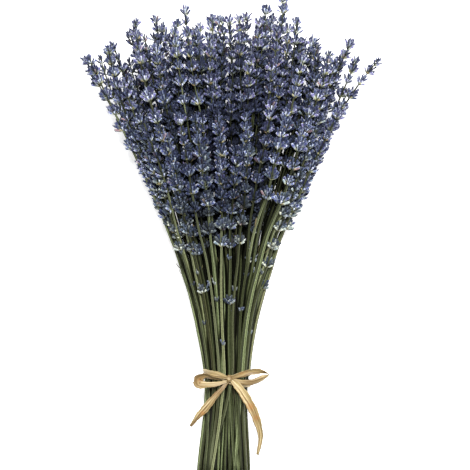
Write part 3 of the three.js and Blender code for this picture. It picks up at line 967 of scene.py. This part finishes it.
# where each calyx of a spike grows: height, angle round the stem, tilts of both ends, length, size, tints
# and whether it is fine
def spikeCalyxes(stem):
    rng = np.random.default_rng(stem["number"])
    whorls = stem["whorls"]
    firstTurn = rng.uniform(0, math.pi)
    rows = []
    for index, y in enumerate(whorls):
        share = index / (len(whorls) - 1)
        fine = stem["fine"][index]
        here = {key: np.interp(share, [0, 1], ends) for key, ends in whorlShape["footToTop"].items()}
        sizeHere = here["size"] * rng.uniform(*whorlShape["sizes"]) * stem.get("bulk", 1)
        sizeHere *= np.interp(y, *whorlShape["lowSize"])
        fewer = (share > whorlShape["fewerFrom"]) + (not fine)
        wider = whorlShape["topSpread"] if index == len(whorls) - 1 else 0
        for tier in whorlShape["tiers"]:
            count = tier["count"] - fewer
            for side in (0, 1):
                for j in range(count):
                    place = (2 * j + 1) / count - 1
                    angle = firstTurn + index * math.pi / 2 + side * math.pi
                    angle += math.radians(tier["spread"] + wider) * place
                    angle += rng.uniform(*whorlShape["turns"]) * here["disorder"]
                    tilt = tier["tilt"] + rng.uniform(*whorlShape["tilts"]) * here["disorder"]
                    tilt = math.radians(tilt) * here["tilt"]
                    rise = tier["rise"] + rng.uniform(*whorlShape["rises"]) * here["disorder"]
                    height = y + whorlShape["rise"] + sizeHere * rise
                    length = tier["length"] * sizeHere * rng.uniform(*whorlShape["lengths"])
                    # painted shade: a random tone, darker on the inner tiers and on whorls that lie deep
                    level = between(whorlShape["lights"], rng.random()) * tier["light"]
                    level *= between(whorlShape["openLights"], stem["open"][index])
                    tints = [rng.random(), level, rng.random()]
                    rows.append([height, angle, tilt, tilt * here["closing"], length, sizeHere, *tints, fine])
    if "budY" in stem:
        for j in range(budShape["count"]):
            height = stem["budY"] + rng.uniform(*budShape["heights"])
            angle = firstTurn + math.radians(budShape["turn"]) * j
            length = budShape["length"] * rng.uniform(*budShape["lengths"])
            # painted shade: a bud is painted as dark as its bare stem lies deep
            level = np.interp(height, cover["stemY"], stem["bare"]) * rng.uniform(*budShape["lights"])
            tints = [rng.random(), level, rng.random()]
            rows.append([height, angle, *budShape["tilts"], length, budShape["size"], *tints, True])
    return np.array(rows)


# points of a stem, the way on along it, and the way out of it at an angle
def stemFrame(stem, y, angle):
    forward = unit(axisPoints(stem, y + 1) - axisPoints(stem, y - 1))
    across = unit(np.cross(forward, [0, 0, 1.0]))
    up = np.cross(across, forward)
    return axisPoints(stem, y), forward, across * np.cos(angle)[:, None] + up * np.sin(angle)[:, None]


# where each bract grows: height, angle, its two draws and how light its whorl is painted, which becomes its
# painted shade
def whorlBracts(stem):
    rows = []
    for k, y in enumerate(stem["whorls"][:-1]):
        if not stem["fine"][k]:
            continue
        for j in range(bractShape["count"]):
            number = (stem["number"] * spike["most"] + k) * bractShape["most"] + j
            height = y + bractShape["rise"] + bractShape["riseSpread"] * draw(number, 94)
            turn = 2 * math.pi * (j / bractShape["count"] + bractShape["turn"] * draw(number, 91))
            rows.append([height, turn, draw(number, 92), draw(number, 93), stem["open"][k]])
    return np.array(rows).reshape(-1, 5)


# the side of a calyx, which is sure even where the calyx doesn't bend
def calyxSide(c):
    return unit(np.cross(c["first"], c["last"] + whorlShape["steadying"]))


def calyxSweep(c, kind):
    shape = whorlShape[kind]
    centre, forward = bentRows(c["start"], c["first"], c["last"], c["length"], shape["rings"])
    radius = c["radius"][:, None] * np.array(shape["profile"])
    endIn = c["length"] * whorlShape["mouthDepth"]
    return sweep(centre, forward, calyxSide(c), radius, radius, shape["sides"], endIn=endIn)


# a flat blade: a petal, a bract or a leaf
def bladeSweep(c, shape):
    centre, forward = bentRows(c["start"], c["first"], c["last"], c["length"], shape["rings"])
    width = np.repeat([shape["profile"]], len(centre), axis=0) * shape["width"]
    return sweep(centre, forward, c["side"], width, np.full_like(width, shape["thick"]), 4)


# the dried flower that some calyxes still hold
def petalSweep(c):
    end, way = bentRows(c["start"], c["first"], c["last"], c["length"], [1.0])
    end, way = end[:, 0], way[:, 0]
    side = calyxSide(c)
    chance = c["tint"][:, 2]
    return bladeSweep({
        "start": end - way * petalShape["deep"],
        "first": way,
        "last": unit(way + petalShape["aside"] * side * np.where(chance > 0.5, 1, -1)[:, None]),
        "length": petalShape["length"] * between(petalShape["lengths"], chance),
        "side": np.cross(way, side),
    }, petalShape)


# the same values of several stems, one after another
def joined(rows):
    return {key: np.concatenate([row[key] for row in rows]) for key in rows[0]}


def picked(c, some):
    return {key: value[some] for key, value in c.items()}


def stemCalyxes(stem):
    height, angle, tilt, endTilt, length, size, chance, level, blue, fine = spikeCalyxes(stem).T
    points, forward, radial = stemFrame(stem, height, angle)
    hue = blueness["least"] + blueness["stem"] * draw(stem["number"], 81) + blueness["own"] * blue
    hue = hue + np.interp(height, *blueness["low"]) + np.interp(height, *blueness["top"])
    return {
        "start": points + radial * whorlShape["out"],
        "first": forward * np.cos(tilt)[:, None] + radial * np.sin(tilt)[:, None],
        "last": forward * np.cos(endTilt)[:, None] + radial * np.sin(endTilt)[:, None],
        "length": length,
        "radius": whorlShape["radius"] * size,
        "tint": np.stack([chance, level, np.maximum(hue, 0)], -1),
        "fine": fine > 0,
    }


def stemBracts(stem):
    height, angle, size, chance, level = whorlBracts(stem).T
    points, forward, radial = stemFrame(stem, height, angle)
    return {
        "start": points + radial * bractShape["out"],
        "first": unit(forward * bractShape["bend"][0] + radial),
        "last": unit(forward + radial * bractShape["bend"][1]),
        "length": bractShape["length"] * between(bractShape["lengths"], size),
        "side": np.cross(forward, radial),
        "tint": np.stack([chance, level, size], -1),
    }


flowerMaterials = [calyxMaterial, bractMaterial, petalMaterial]


# each sweep comes with its number in flowerMaterials and its tints
def spikeSweeps(group):
    calyxes = joined([stemCalyxes(stem) for stem in group])
    bracts = joined([stemBracts(stem) for stem in group])
    sweeps = []
    for kind in ("fine", "plain"):
        part = picked(calyxes, calyxes["fine"] == (kind == "fine"))
        if len(part["length"]):
            sweeps.append((pressedUp(calyxSweep(part, kind)), 0, part["tint"]))
    held = picked(calyxes, calyxes["fine"] & (calyxes["tint"][:, 0] < petalShape["share"]))
    if len(held["length"]):
        sweeps.append((pressedUp(petalSweep(held)), 2, held["tint"] * [1 / petalShape["share"], 1, 1]))
    if len(bracts["length"]):
        sweeps.append((pressedUp(bladeSweep(bracts, bractShape)), 1, bracts["tint"]))
    return sweeps


# narrow leaves in pairs on some of the bare stems

leafShape = {
    "share": 0.3, "heights": (60, 190), "underSpike": 12, "out": 0.8, "length": 11, "lengths": (0.5, 1.3),
    "bend": (0.9, 0.15),        # share of outward at the foot and at the tip
    "rings": [0, 0.25, 0.55, 0.8, 1.0], "profile": [0.6, 0.9, 1.0, 0.7, 0.1], "width": 0.85, "thick": 0.16,
    "greenShare": 0.6,
}


def leafSweep(group):
    pairs = []
    for stem in group:
        number = stem["number"]
        y = between(leafShape["heights"], draw(number, 102))
        if draw(number, 101) > leafShape["share"] or y > stem["footY"] - leafShape["underSpike"]:
            continue
        sides = np.arange(2)
        turns = 2 * math.pi * draw(number, 103) + sides * math.pi
        points, forward, radial = stemFrame(stem, np.array([y, y]), turns)
        pairs.append({
            "start": points + radial * leafShape["out"],
            "first": unit(forward + radial * leafShape["bend"][0]),
            "last": unit(forward + radial * leafShape["bend"][1]),
            "length": leafShape["length"] * between(leafShape["lengths"], draw(number + sides, 104)),
            "side": np.cross(forward, radial),
            "chance": np.full(2, draw(number, 105)),
        })
    if not pairs:
        return None
    leaves = joined(pairs)
    chance = leaves["chance"]
    tints = np.stack([chance * leafShape["greenShare"], chance, chance], -1)
    return pressedUp(bladeSweep(leaves, leafShape)), 1, tints


# pieces for every cell of stems and every group of spikes

def makeStemPiece(name, group, kind="plain"):
    part, tints = stemSweep(group, kind)
    sweeps = [(part, 0, tints)]
    leaves = leafSweep(group)
    if leaves:
        sweeps.append(leaves)
    piece = buildObject(name, sweeps, [stemMaterial, bractMaterial])
    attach(piece, "root")
    return piece


def makeFlowerPiece(name, group):
    piece = buildObject(name, spikeSweeps(group), flowerMaterials)
    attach(piece, "root")
    return piece


def liesOpen(stem):
    return stem["bare"][:cover["fineHeights"]].mean() > cover["fineStem"]


def makeCellPieces():
    for cell in sorted({s["cell"] for s in stems}):
        group = [s for s in stems if s["cell"] == cell]
        kind = "fine" if any(liesOpen(s) for s in group) else "plain"
        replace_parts(makeStemPiece(f"fine_stems_{cell}", group, kind), f"stems_{cell}")
        fused = [s for s in group if not s["clear"]]
        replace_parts(makeFlowerPiece(f"fine_flowers_{cell}", fused), f"flowers_{cell}")
    clear = [s for s in stems if s["clear"]]
    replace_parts(makeFlowerPiece("fine_flowers_stray", clear), "flowers_stray")


def makeOtherPieces():
    count = math.ceil(len(fillers) / filling["pieces"])
    for k in range(filling["pieces"]):
        group = fillers[k * count:(k + 1) * count]
        makeStemPiece(f"stems_between_{k + 1}", group)
        makeFlowerPiece(f"flowers_between_{k + 1}", group)
    makeStemPiece("stems_inside", bareInside)
    makeStemPiece("stems_over", foremost, "fine")
    makeFlowerPiece("flowers_over", foremost)


makeCellPieces()
makeOtherPieces()
print("stems and spikes made")


# raffia: loops, tails and knot over a band that goes twice round the stems

strip = {
    "thick": 0.5,
    "edgeThick": 0.4,       # share of the thickness at the edges, and how near them it thins
    "edgePower": 6,
    "across": 9,            # points across the strip
    "curl": 0.2,            # how far its edges turn up, as a share of its width
    "curlLevel": 0.33,
    "curlWaves": (3, 0.5),  # how many along the strip, and how much they change the curl
    "ridge": 0.45,
    "ridgeWaves": (14, 0.6),
    "endFade": 12,          # a ring's curl and ridges fade where it closes
    "edgeWaves": [(40, 0.05), (97, 0.04)],
    "edgePhase": 6,
    "skinLength": 50,
    "skinStep": 0.37,
    "creaseShade": 1.5,          # how brown the creases are painted, as shade, and at most
    "creaseShadeMost": 0.8,
}

bow = {
    "wrapTop": 32.3,
    "steps": 90,
    # bands lie level at the sides and fall to the right past the knot
    "bands": [
        {"middleY": 3.5, "fall": 5.6, "width": 5.8, "out": 1.3},
        {"middleY": 2.4, "fall": 2.6, "width": 3.4, "out": 0.7},
    ],
    "bandSteps": 160,
    "bandShadeBrown": 0.1,
    "fallX": -1,
    "fallLength": 10,
    "offFloor": 0.15,
    "stemSteps": 24,
    "outlineSteps": 720,
    "evenOut": 49,          # how many of them are evened out together
    "knot": {
        "x": 2.6, "y": 3.6, "height": 2.2, "half": (3.3, 3.5, 2.8), "width": 3.6,
        # brown: how brown the knot is painted, as shade
        "turns": (0.5, -0.6, 1.5), "steps": 60, "radius": 0.92, "brown": 0.35,
    },
    # each: x, y, height over the wrap, width, roll in degrees, how brown it is painted, as shade
    "leftLoop": [
        (2, 1.5, 2.6, 2.8, 20, 0.3), (-10, -1.4, 4.0, 4.6, 18, 0), (-19, -2.0, 4.2, 6.0, 22, 0.05),
        (-25, -1.9, 3.6, 9, 24, 0.3), (-26.2, 1.2, 3.0, 12.6, 28, 0.6), (-25, 4.4, 3.2, 10.6, 28, 0.8),
        (-19, 7.0, 4.2, 5.6, 46, 0.7), (-10, 5.4, 4.2, 3.8, 66, 0.8), (3, 3.6, 2.6, 2.6, 80, 0.5),
    ],
    "rightLoop": [
        (3, 4.4, 2.8, 3.4, 15, 0.3), (12.5, 7.2, 4.6, 5.6, 22, 0.05), (22, 10.4, 5, 6.4, 26, 0.1),
        (31, 10.8, 4.6, 6.2, 36, 0.1), (38.6, 7.8, 4, 4.6, 90, 0.3), (33, 3.6, 4, 6.4, 136, 0.2),
        (22, 0, 4.4, 6.4, 150, 0.75), (12.5, 0.4, 3.4, 4.6, 156, 0.3), (4, 3, 2.4, 3, 160, 0.3),
    ],
    "leftTail": [
        (2, 2.5, 2, 2.8, 10, 0.7), (-4.4, -6, 3.6, 4.4, 30, 0.8), (-11.5, -14, 3.4, 5.6, 16, 0.5),
        (-18.9, -22.6, 1.9, 7.0, -4, 0.1), (-26, -30.5, -0.4, 5.6, -14, 0.15),
        (-33.6, -40.8, -5.8, 2.5, -30, 0.9),
    ],
    "rightTail": [
        (4, 3.4, 2.8, 3.6, 0, 0.2), (12, -5, 4, 7.4, 6, 0), (22, -20, 3, 8.4, 10, 0),
        (28, -34, -0.8, 7.6, 18, 0.1), (31.8, -50, -7.4, 5.2, 28, 0.1), (29, -68, -12.2, 2.6, 40, 0),
    ],
    # worn spots: x, y and size
    "spots": [(22.6, -22, 3.4), (27.4, -32.5, 2.6), (-24.5, 2.5, 1.6), (-22, -28.5, 2.2)],
}


def catmullRom(rows, count):
    rows = np.array(rows, float)
    padded = np.vstack([2 * rows[0] - rows[1], rows, 2 * rows[-1] - rows[-2]])
    t = np.linspace(0, len(rows) - 1 - 1e-6, count)
    k = t.astype(int)
    f = (t - k)[:, None]
    p0, p1, p2, p3 = padded[k], padded[k + 1], padded[k + 2], padded[k + 3]
    bend = (2 * p0 - 5 * p1 + 4 * p2 - p3) * f ** 2 + (3 * p1 - p0 - 3 * p2 + p3) * f ** 3
    return 0.5 * (2 * p1 + (p2 - p0) * f + bend)


# the faces of a strip, and of its two ends unless it is a ring
def stripFaces(count, sides, ring):
    quads = ringQuads(count, sides, ring)[:, [1, 0, 3, 2]]
    if ring:
        return quads
    k = np.arange(sides // 2 - 1)
    last = (count - 1) * sides
    return np.concatenate([
        quads,
        np.stack([k, k + 1, sides - 2 - k, sides - 1 - k], -1),
        np.stack([last + k + 1, last + k, last + sides - 1 - k, last + sides - 2 - k], -1),
    ])


# a strip: its centre line, the ways across it and out of its face, its widths and how brown it is painted, as
# shade
def stripSweep(centre, across, face, width, salt, brown, ring=False):
    count = len(centre)
    n = strip["across"]
    rng = np.random.default_rng(salt)
    x = np.linspace(-1, 1, n)
    along = np.linspace(0, 1, count)[:, None]
    waves, share = strip["curlWaves"]
    curl = 1 + share * np.sin(2 * math.pi * (along * waves + rng.random()))
    curl = strip["curl"] * (x ** 2 - strip["curlLevel"]) * curl
    phase = rng.random(n) * 2 * math.pi
    waves, share = strip["ridgeWaves"]
    ridge = strip["ridge"] * rng.uniform(-1, 1, n) * (1 + share * np.sin(along * waves + phase))
    if ring:
        fade = np.minimum(1, np.minimum(along, 1 - along) * strip["endFade"])
        ridge = ridge * fade
        curl = curl * fade
    edge = 1
    for waves, share in strip["edgeWaves"]:
        edge = edge + share * np.sin(along * waves + rng.random() * strip["edgePhase"])
    half = (width[:, None] / 2) * edge * x
    rise = curl * width[:, None] + ridge
    thick = strip["thick"] * (1 - (1 - strip["edgeThick"]) * np.abs(x) ** strip["edgePower"]) / 2
    body = centre[:, None, :] + half[..., None] * across[:, None, :]
    top = body + (rise + thick)[..., None] * face[:, None, :]
    under = body + (rise - thick)[..., None] * face[:, None, :]
    points = np.concatenate([top, under[:, ::-1]], axis=1).reshape(-1, 3)
    quads = stripFaces(count, 2 * n, ring)
    u = np.concatenate([x + 1, x[::-1] + 1]) / 2 + salt * strip["skinStep"]
    length = np.concatenate([[0], np.cumsum(np.linalg.norm(np.diff(centre, axis=0), axis=1))])
    v = length[:, None] / strip["skinLength"] + salt
    # creases are browner, and so are the worn spots
    # painted shade: creases, where the strip dips, are painted browner. The worn spots are browner too
    creaseShade = np.clip(-strip["creaseShade"] * ridge / strip["ridge"], 0, strip["creaseShadeMost"])
    paintedShade = np.clip(np.reshape(brown, (-1, 1)) + np.concatenate([creaseShade, creaseShade[:, ::-1]], axis=1), 0, 1)
    spot = np.zeros(len(points))
    for spotX, spotY, size in bow["spots"]:
        far = (points[:, 0] - spotX) ** 2 + (points[:, 1] - spotY) ** 2
        spot = np.maximum(spot, np.exp(-far / size ** 2))
    return {
        "points": points,
        "quads": quads,
        "seam": np.zeros(quads.shape, bool),
        "tris": np.zeros((0, 3), int),
        "skin": np.stack(np.broadcast_arrays(u[None, :], v), -1).reshape(-1, 2),
        "tint": np.stack([np.full(len(points), draw(salt, 5)), paintedShade.reshape(-1), spot], -1),
    }


def routeStrip(route, salt):
    rows = catmullRom(route, bow["steps"])
    centre = rows[:, :3] + [0, 0, bow["wrapTop"]]
    forward = unit(np.gradient(centre, axis=0))
    side = unit(np.cross(forward, [0, 0, 1.0]))
    roll = np.radians(rows[:, 4])[:, None]
    across = side * np.cos(roll) + np.cross(forward, side) * np.sin(roll)
    return stripSweep(centre, across, np.cross(across, forward), rows[:, 3], salt, rows[:, 5])


def ringStrip(centre, face, width, salt, brown):
    forward = unit(np.roll(centre, -1, axis=0) - np.roll(centre, 1, axis=0))
    across = unit(np.cross(forward, face))
    widths = np.full(len(centre), float(width))
    return stripSweep(centre, across, np.cross(across, forward), widths, salt, brown, ring=True)


# directions all round, as pairs of numbers
def allRound(count):
    angle = np.linspace(0, 2 * np.pi, count, endpoint=False)
    return np.stack([np.cos(angle), np.sin(angle)], -1)


# the outline of all the stems where a band goes round them
def bandOutline(band):
    y = band["middleY"]
    circle = allRound(bow["stemSteps"]) * np.interp(y, stationY, stemThick) / 2
    corners = np.concatenate([axisPoints(stem, [y])[:, [0, 2]] + circle for stem in stems + foremost])
    ways = allRound(bow["outlineSteps"])
    reach = (corners @ ways.T).max(axis=0) + band["out"]
    # the reach in each direction, evened out, gives a curve without corners
    half = bow["evenOut"] // 2
    padded = np.concatenate([reach[-half:], reach, reach[:half]])
    reach = np.convolve(padded, np.ones(bow["evenOut"]) / bow["evenOut"], "valid")
    step = 2 * np.pi / bow["outlineSteps"]
    slope = np.gradient(np.concatenate([reach[-1:], reach, reach[:1]]))[1:-1] / step
    turned = np.stack([-ways[:, 1], ways[:, 0]], -1)
    outline = reach[:, None] * ways + slope[:, None] * turned
    pick = np.linspace(0, bow["outlineSteps"], bow["bandSteps"], endpoint=False).astype(int)
    return outline[pick], ways[pick]


def bandStrip(band, salt):
    outline, ways = bandOutline(band)
    x, z = outline.T
    z = np.maximum(z, strip["thick"] / 2 + bow["offFloor"])
    y = band["middleY"] - band["fall"] * np.tanh((x - bow["fallX"]) / bow["fallLength"])
    face = np.stack([ways[:, 0], 0 * x, ways[:, 1]], -1)
    return ringStrip(np.stack([x, y, z], -1), face, band["width"], salt, bow["bandShadeBrown"])


def knotStrip(turn, salt):
    knot = bow["knot"]
    ways = allRound(knot["steps"])
    spin = np.array([[math.cos(turn), -math.sin(turn), 0], [math.sin(turn), math.cos(turn), 0], [0, 0, 1]])
    face = np.stack([ways[:, 0], 0 * ways[:, 0], ways[:, 1]], -1)
    middle = [knot["x"], knot["y"], bow["wrapTop"] + knot["height"]]
    centre = ((face * knot["radius"]) @ spin.T) * knot["half"] + middle
    return ringStrip(centre, face @ spin.T, knot["width"], salt, knot["brown"])


def makeRaffia():
    routes = [bow[name] for name in ("leftLoop", "rightLoop", "leftTail", "rightTail")]
    parts = [routeStrip(route, salt) for salt, route in enumerate(routes)]
    parts += [bandStrip(band, salt) for salt, band in enumerate(bow["bands"], 11)]
    parts += [knotStrip(turn, salt) for salt, turn in enumerate(bow["knot"]["turns"], 31)]
    sweeps = [(pressedUp(part), 0, part["tint"]) for part in parts]
    piece = buildObject("fine_raffia_bow", sweeps, [raffiaMaterial])
    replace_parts(piece, "raffia_bow")
    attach(piece, "root")


makeRaffia()
print("raffia made")


# floor, light and camera

studio = {
    "pixelsAcross": 470,
    "mmPerPixel": 0.92,
    "tiePixel": (226.5, 383),
    "cameraHeight": 2.2,
    "focusHeight": 0.04,
    "sensor": 36,
    "floorSize": 6.0,
    "floorZ": -0.0002,
    "floorGrey": 0.92,
    "floorGlow": 0.6,       # keeps the shadows pale, as on a light table
    "roughness": 0.9,
    "gloss": 0.5,
    "worldStrength": 0.32,
    # each: name, place, size and power
    "lights": [("key", (0.1, 0.7, 2.05), 0.7, 86), ("fill", (1.2, -0.6, 1.3), 1.4, 8)],
    "lightTarget": (0, 0.05, 0.03),
}


def makeFloor():
    bpy.ops.mesh.primitive_plane_add(size=studio["floorSize"], location=(0, 0, studio["floorZ"]))
    floor = bpy.context.object
    floor.name = "floor"
    material, tree, shader = newMaterial("paper", studio)
    shader.inputs["Base Color"].default_value = (*[studio["floorGrey"]] * 3, 1)
    shader.inputs["Emission Color"].default_value = (1, 1, 1, 1)
    shader.inputs["Emission Strength"].default_value = studio["floorGlow"]
    floor.data.materials.append(material)


def addArea(name, location, size, power):
    light = bpy.data.lights.new(name, "AREA")
    light.size = size
    light.energy = power
    obj = bpy.data.objects.new(name, light)
    obj.location = location
    toTarget = Vector(studio["lightTarget"]) - Vector(location)
    obj.rotation_euler = toTarget.to_track_quat("-Z", "Y").to_euler()
    bpy.context.collection.objects.link(obj)


def makeLights():
    world = bpy.data.worlds.new("studio")
    world.use_nodes = True
    background = world.node_tree.nodes["Background"]
    background.inputs["Color"].default_value = (1, 1, 1, 1)
    background.inputs["Strength"].default_value = studio["worldStrength"]
    bpy.context.scene.world = world
    for light in studio["lights"]:
        addArea(*light)


def makeCamera():
    half = studio["pixelsAcross"] / 2
    toMetres = studio["mmPerPixel"] * mm
    x = tie[0] * mm + (half - studio["tiePixel"][0]) * toMetres
    y = tie[1] * mm + (studio["tiePixel"][1] - half) * toMetres
    camera = bpy.data.cameras.new("camera")
    distance = studio["cameraHeight"] - studio["focusHeight"]
    camera.sensor_width = studio["sensor"]
    camera.lens = studio["sensor"] * distance / (studio["pixelsAcross"] * toMetres)
    obj = bpy.data.objects.new("camera", camera)
    obj.location = (x, y, studio["cameraHeight"])
    bpy.context.collection.objects.link(obj)
    bpy.context.scene.camera = obj
    bpy.context.scene.view_settings.view_transform = "Standard"


makeFloor()
makeLights()
makeCamera()
print("floor, light and camera set")

bpy.context.view_layer.update()
